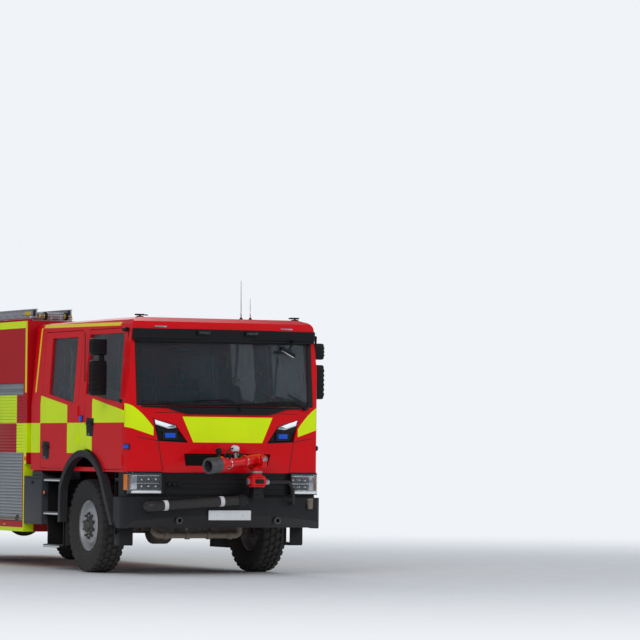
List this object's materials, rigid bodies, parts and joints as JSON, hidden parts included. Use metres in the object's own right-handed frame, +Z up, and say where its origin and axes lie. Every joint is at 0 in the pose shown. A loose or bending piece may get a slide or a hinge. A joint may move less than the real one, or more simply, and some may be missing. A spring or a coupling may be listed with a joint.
{
  "type": "airport fire truck",
  "caption": "Crew-cab airport fire truck on a four-wheel-drive chassis, with a bumper water monitor, hinged doors, steered front wheels and a shuttered equipment body.",
  "frame": {"origin": "on the ground under the middle of the vehicle's overall box", "axes": "+X to the vehicle's left, -Y towards its front, +Z up"},
  "size_m": [2.98, 9.3752, 3.47],
  "materials": {
    "chassis_black": "satin",
    "engine_grey": "rough",
    "bumper_black": "textured",
    "pipe_beige": "satin",
    "lamp_clear": "clear",
    "trim_black": "grained",
    "cab_red": "gloss",
    "glass": "clear",
    "interior_grey": "grained",
    "seat_fabric": "woven",
    "box_grey": "satin",
    "body_red": "gloss",
    "shutter_silver": "anodised",
    "ladder_silver": "mill",
    "monitor_red": "gloss",
    "hose_black": "ribbed",
    "tyre": "tread",
    "rim_silver": "satin"
  },
  "bodies": {
    "truck": {"chassis_frame": "chassis_black", "power_train": "engine_grey", "front_axle": "chassis_black", "front_differential": "chassis_black", "rear_axle": "chassis_black", "front_springs": "chassis_black", "rear_springs": "chassis_black", "front_bumper": "bumper_black", "water_pipe": "pipe_beige", "head_lamps": "lamp_clear", "grille": "trim_black", "cab_shell": "cab_red", "cab_trim": "trim_black", "front_panel": "cab_red", "windscreen": "glass", "dashboard": "interior_grey", "seats": "seat_fabric", "wheel_arches": "trim_black", "entry_steps": "trim_black", "side_boxes": "box_grey", "roof_fittings": "trim_black", "body_shell": "body_red", "roller_shutters": "shutter_silver", "ladder": "ladder_silver", "ladder_gantry": "ladder_silver", "rear_bumper": "bumper_black", "monitor_base": "monitor_red", "bumper_hose": "hose_black", "drain_pipe": "hose_black"},
    "front_door_left": {"door_front_left": "cab_red", "glass_front_left": "glass", "mirror_left": "trim_black"},
    "rear_door_left": {"door_rear_left": "cab_red", "glass_rear_left": "glass"},
    "knuckle_left_body": {"knuckle_left": "chassis_black"},
    "front_wheel_left": {"front_tyre_left": "tyre", "front_rim_left": "rim_silver"},
    "rear_wheels_left": {"rear_tyres_left": "tyre", "rear_rims_left": "rim_silver"},
    "front_door_right": {"door_front_right": "cab_red", "glass_front_right": "glass", "mirror_right": "trim_black"},
    "rear_door_right": {"door_rear_right": "cab_red", "glass_rear_right": "glass"},
    "knuckle_right_body": {"knuckle_right": "chassis_black"},
    "front_wheel_right": {"front_tyre_right": "tyre", "front_rim_right": "rim_silver"},
    "rear_wheels_right": {"rear_tyres_right": "tyre", "rear_rims_right": "rim_silver"},
    "tie_rod_body": {"tie_rod": "chassis_black"},
    "monitor_swivel_body": {"monitor_swivel": "monitor_red"},
    "monitor_barrel_body": {"monitor_barrel": "monitor_red"}
  },
  "joints": [
    {"name": "front_door_left_swing", "type": "hinge", "parent": "truck", "child": "front_door_left", "pos_m": [1.222, -3.89038, 1.95], "axis": [0, 0, -1], "range_deg": [0, 75]},
    {"name": "rear_door_left_swing", "type": "hinge", "parent": "truck", "child": "rear_door_left", "pos_m": [1.222, -2.50538, 1.95], "axis": [0, 0, -1], "range_deg": [0, 75]},
    {"name": "steer_left", "type": "hinge", "parent": "truck", "child": "knuckle_left_body", "pos_m": [0.9, -2.68238, 0.55], "axis": [0, 0, 1], "range_deg": [-35, 35]},
    {"name": "front_wheel_left_spin", "type": "hinge", "parent": "knuckle_left_body", "child": "front_wheel_left", "pos_m": [1.035, -2.68238, 0.55], "axis": [1, 0, 0], "continuous": true},
    {"name": "rear_wheels_left_spin", "type": "hinge", "parent": "truck", "child": "rear_wheels_left", "pos_m": [0.915, 2.41762, 0.55], "axis": [1, 0, 0], "continuous": true},
    {"name": "front_door_right_swing", "type": "hinge", "parent": "truck", "child": "front_door_right", "pos_m": [-1.222, -3.89038, 1.95], "axis": [0, 0, 1], "range_deg": [0, 75]},
    {"name": "rear_door_right_swing", "type": "hinge", "parent": "truck", "child": "rear_door_right", "pos_m": [-1.222, -2.50538, 1.95], "axis": [0, 0, 1], "range_deg": [0, 75]},
    {"name": "steer_right", "type": "hinge", "parent": "truck", "child": "knuckle_right_body", "pos_m": [-0.9, -2.68238, 0.55], "axis": [0, 0, 1], "range_deg": [-35, 35]},
    {"name": "front_wheel_right_spin", "type": "hinge", "parent": "knuckle_right_body", "child": "front_wheel_right", "pos_m": [-1.035, -2.68238, 0.55], "axis": [1, 0, 0], "continuous": true},
    {"name": "rear_wheels_right_spin", "type": "hinge", "parent": "truck", "child": "rear_wheels_right", "pos_m": [-0.915, 2.41762, 0.55], "axis": [1, 0, 0], "continuous": true},
    {"name": "tie_rod_turn", "type": "hinge", "parent": "knuckle_left_body", "child": "tie_rod_body", "pos_m": [0.9, -2.46738, 0.475], "axis": [0, 0, 1], "range_deg": [-36, 36]},
    {"name": "monitor_turn", "type": "hinge", "parent": "truck", "child": "monitor_swivel_body", "pos_m": [0.28, -4.33238, 1.35], "axis": [0, 0, 1], "range_deg": [-15, 155]},
    {"name": "monitor_tilt", "type": "hinge", "parent": "monitor_swivel_body", "child": "monitor_barrel_body", "pos_m": [0.28, -4.33238, 1.35], "axis": [-0.342, 0.9397, 0], "range_deg": [-8, 45]}
  ],
  "couplings": [
    {"joint": "steer_right", "follows": "steer_left", "ratio": 1},
    {"joint": "tie_rod_turn", "follows": "steer_left", "ratio": -1}
  ]
}
